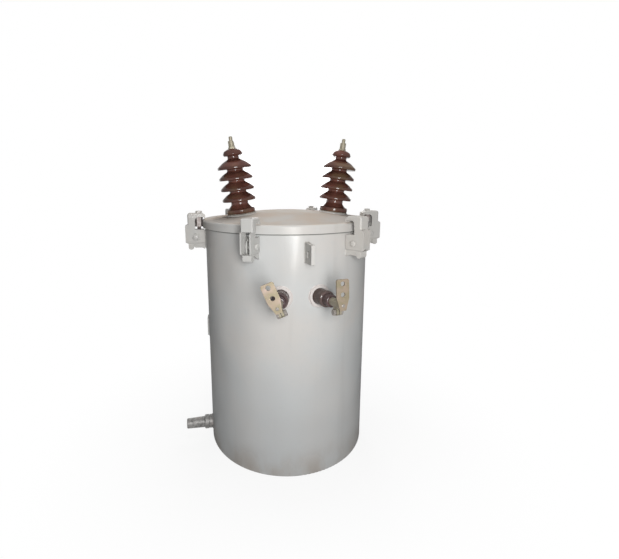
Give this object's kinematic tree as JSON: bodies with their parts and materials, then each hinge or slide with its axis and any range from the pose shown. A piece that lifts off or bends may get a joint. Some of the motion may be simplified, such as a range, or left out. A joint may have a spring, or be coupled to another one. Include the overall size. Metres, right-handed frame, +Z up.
{
  "type": "pole mounted transformer",
  "caption": "Upright cylindrical oil-filled distribution transformer with a clamped domed cover, shedded porcelain bushings, spade terminals, a drain fitting and hanger brackets.",
  "frame": {"origin": "centre of the tank's bottom face, on the floor it stands on", "axes": "+Z up along the tank's axis, -Y towards the low-voltage side, +Y towards the pole, +X to the right of a person facing the low-voltage side"},
  "size_m": [0.6183, 0.6415, 0.9158],
  "materials": {
    "tank_paint": "light grey gloss enamel, sprayed",
    "cover_paint": "light grey gloss enamel, a little dusty",
    "gasket_rubber": "matt",
    "seat_gasket": "matt cork rubber",
    "hv_porcelain": "glossy red-brown glaze",
    "lv_porcelain": "glossy dark purple-brown glaze",
    "terminal_bronze": "dull tinned bronze",
    "spade_bronze": "dull rolled bronze plate",
    "bolt_steel": "zinc plated, dull",
    "drain_iron": "galvanised, mottled"
  },
  "bodies": {
    "root": {"tank_wall": "tank_paint", "tank_base": "tank_paint", "cover": "cover_paint", "front_lug": "tank_paint", "side_pad": "tank_paint", "hanger_bracket_lower": "tank_paint", "hanger_bracket_upper": "tank_paint", "lv_boss_left": "tank_paint", "lv_boss_right": "tank_paint", "clamp_hook_front_left": "tank_paint", "clamp_lug_front_left": "tank_paint", "clamp_pin_front_left": "tank_paint", "clamp_hook_front_right": "tank_paint", "clamp_lug_front_right": "tank_paint", "clamp_pin_front_right": "tank_paint", "clamp_hook_right": "tank_paint", "clamp_lug_right": "tank_paint", "clamp_pin_right": "tank_paint", "clamp_hook_rear_right": "tank_paint", "clamp_lug_rear_right": "tank_paint", "clamp_pin_rear_right": "tank_paint", "clamp_hook_rear_left": "tank_paint", "clamp_lug_rear_left": "tank_paint", "clamp_pin_rear_left": "tank_paint", "clamp_hook_left": "tank_paint", "clamp_lug_left": "tank_paint", "clamp_pin_left": "tank_paint", "cover_gasket": "gasket_rubber", "hv_gasket_left": "seat_gasket", "hv_bushing_left": "hv_porcelain", "hv_terminal_left": "terminal_bronze", "lv_bushing_left": "lv_porcelain", "lv_clamp_left": "terminal_bronze", "lv_clamp_bolt_left": "bolt_steel", "lv_spade_left": "spade_bronze", "hv_gasket_right": "seat_gasket", "hv_bushing_right": "hv_porcelain", "hv_terminal_right": "terminal_bronze", "lv_bushing_right": "lv_porcelain", "lv_clamp_right": "terminal_bronze", "lv_clamp_bolt_right": "bolt_steel", "lv_spade_right": "spade_bronze", "drain_collar": "drain_iron", "drain_plug": "drain_iron"}
  },
  "joints": []
}
